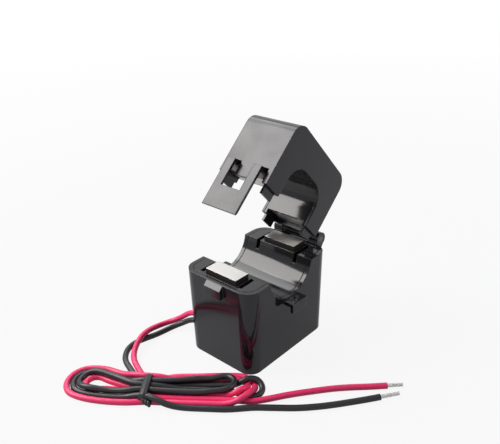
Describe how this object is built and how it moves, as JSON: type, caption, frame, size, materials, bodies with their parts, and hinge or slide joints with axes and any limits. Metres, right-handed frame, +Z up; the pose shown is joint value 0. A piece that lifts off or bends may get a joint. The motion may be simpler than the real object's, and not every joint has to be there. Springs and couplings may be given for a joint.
{
  "type": "split-core current transformer",
  "caption": "Split-core current transformer with a hinged clip-on lid open over its cable trough, a latch strap, bright core poles, and red and black leads tied in a hank.",
  "frame": {"origin": "centre of the case's flat underside", "axes": "+X along the cable window, -Y towards the latch, +Y towards the hinge, +Z up"},
  "size_m": [0.0662, 0.0733, 0.057],
  "materials": {
    "case_black": "polished black moulded plastic",
    "cover_black": "polished black moulded plastic",
    "core_steel": "stacked silicon-steel laminations with ground pole faces",
    "bobbin_plastic": "natural nylon",
    "copper_wire": "enamelled copper wire",
    "yellow_tape": "polyester tape",
    "diode_body": "moulded epoxy with tinned wires",
    "sleeve_black": "shrunk sleeve",
    "bush_rubber": "moulded rubber",
    "pin_steel": "drawn steel",
    "spring_steel": "spring steel strip",
    "lead_red": "satin red PVC insulation",
    "lead_black": "satin black PVC insulation",
    "tie_black": "black plastic-covered tie wire",
    "tinned_copper": "tinned copper strands"
  },
  "bodies": {
    "case": {"lower_case": "case_black", "inner_cover": "cover_black", "lower_core": "core_steel", "bobbin_top": "bobbin_plastic", "bobbin_bottom": "bobbin_plastic", "winding": "copper_wire", "winding_tape": "yellow_tape", "surge_suppressor": "diode_body", "red_splice": "sleeve_black", "black_splice": "sleeve_black", "lead_bush": "bush_rubber", "hinge_pin": "pin_steel", "red_lead": "lead_red", "black_lead": "lead_black", "lead_hank": "lead_red", "hank_tie": "tie_black", "red_tail": "lead_red", "black_tail": "lead_black", "red_tinned_end": "tinned_copper", "black_tinned_end": "tinned_copper"},
    "lid": {"lid_shell": "case_black", "lid_lining": "cover_black", "upper_core": "core_steel", "core_spring": "spring_steel"}
  },
  "joints": [
    {"name": "lid_hinge", "type": "hinge", "parent": "case", "child": "lid", "pos_m": [0, 0.01735, 0.0239], "axis": [-1, 0, 0], "range_deg": [-47.3, 62.7]}
  ]
}
